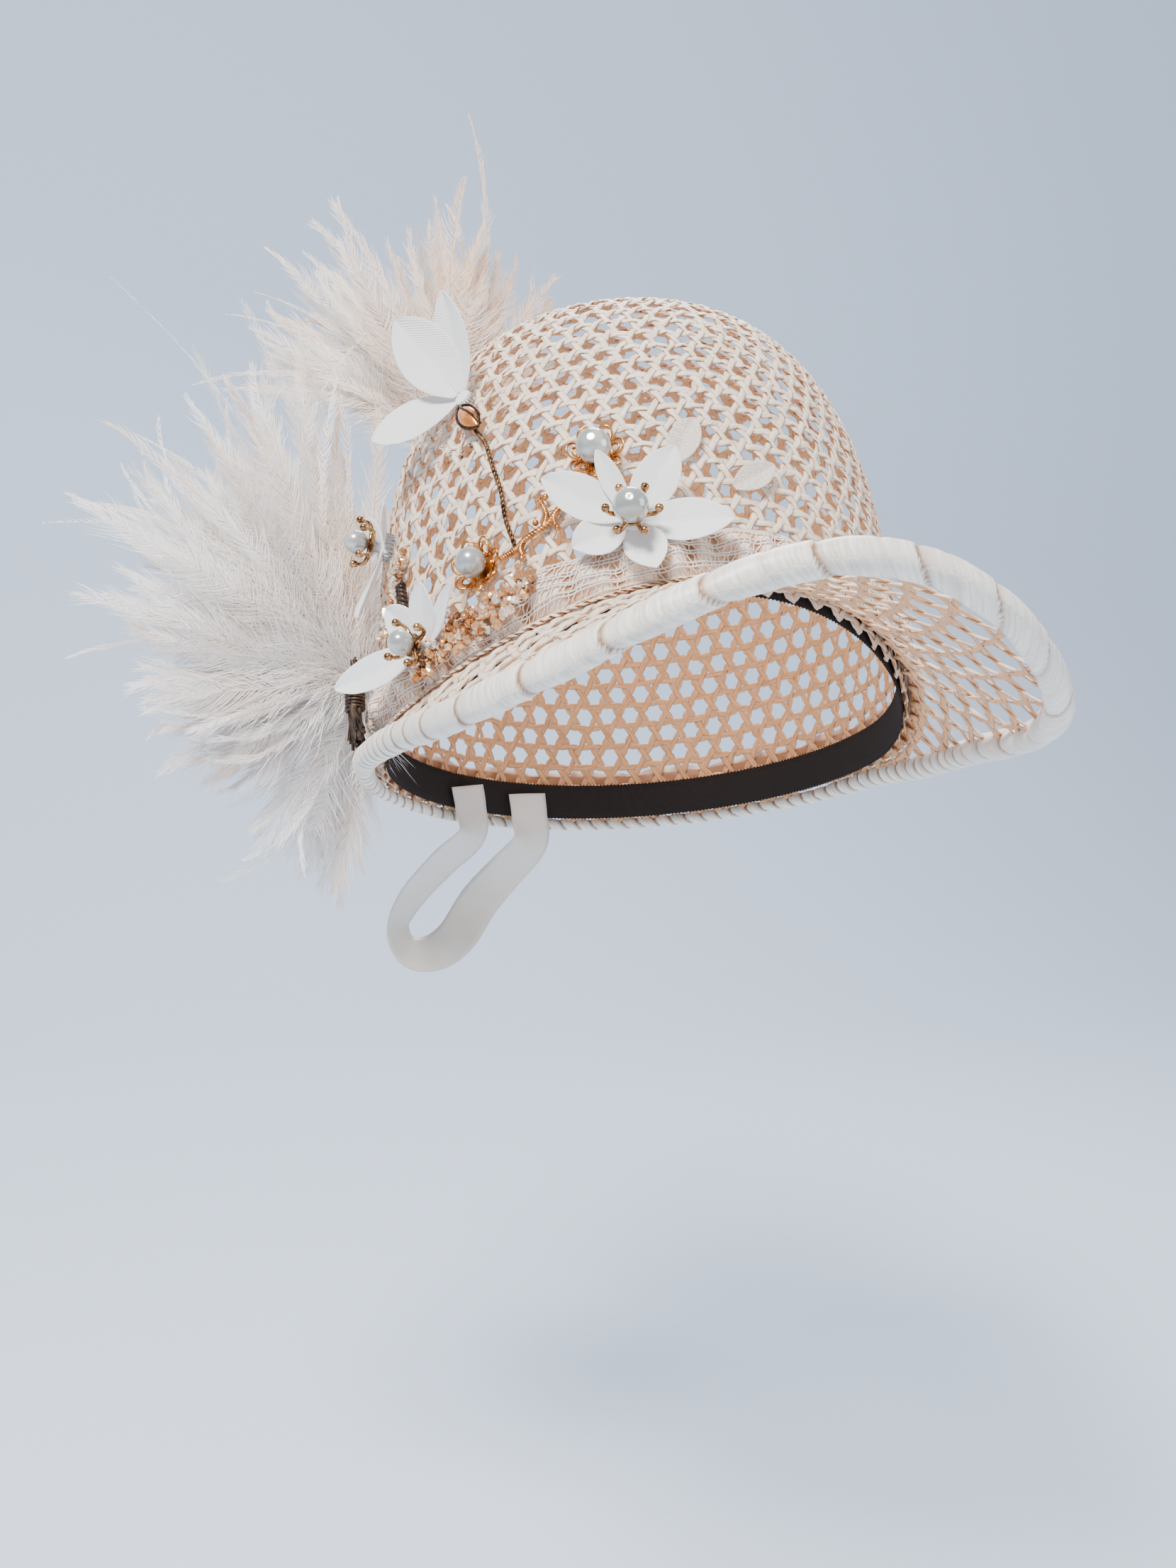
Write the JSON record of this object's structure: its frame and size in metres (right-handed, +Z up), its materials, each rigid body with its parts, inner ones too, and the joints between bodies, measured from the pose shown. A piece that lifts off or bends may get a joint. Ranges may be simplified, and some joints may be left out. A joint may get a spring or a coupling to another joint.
{
  "type": "straw cap",
  "caption": "Deep-peaked cap of open straw net with a rolled edge, pleated lace band, cloth flowers with pearls, and a side spray of feathers.",
  "frame": {"origin": "middle of the head opening, level with the sides of the crown's lower edge", "axes": "+Z up as worn, -Y out of the peak, +X the wearer's left"},
  "size_m": [0.2821, 0.3346, 0.3263],
  "materials": {
    "straw": "open straw net",
    "satin": "satin straw ribbon",
    "dark_ribbon": "ribbed",
    "lace": "open lace",
    "petal_cloth": "stiffened cloth",
    "pearl": "pearl",
    "bronze": "darkened",
    "gold_wire": "polished",
    "crystal": "faceted",
    "feather": "feather",
    "warm_feather": "feather"
  },
  "bodies": {
    "root": {"crown": "straw", "brim": "straw", "edge_binding": "satin", "head_ribbon": "dark_ribbon", "lace_band": "lace", "front_flower_petals": "petal_cloth", "front_flower_setting": "bronze", "front_flower_pearl": "pearl", "lower_flower_petals": "petal_cloth", "lower_flower_setting": "bronze", "lower_flower_pearl": "pearl", "side_flower_petals": "petal_cloth", "side_flower_setting": "bronze", "side_flower_pearl": "pearl", "upper_filigree": "gold_wire", "upper_pearl": "pearl", "middle_filigree": "gold_wire", "middle_pearl": "pearl", "spray_petals": "petal_cloth", "gold_leaf_bead": "gold_wire", "spray_wire": "bronze", "wire_branch": "gold_wire", "organza_leaf_1": "lace", "organza_leaf_2": "lace", "band_beads": "crystal", "crown_beads": "crystal", "dark_braid": "bronze", "bound_quills": "bronze", "side_plume": "feather", "top_plume": "warm_feather", "ribbon_tie": "satin"}
  },
  "joints": []
}
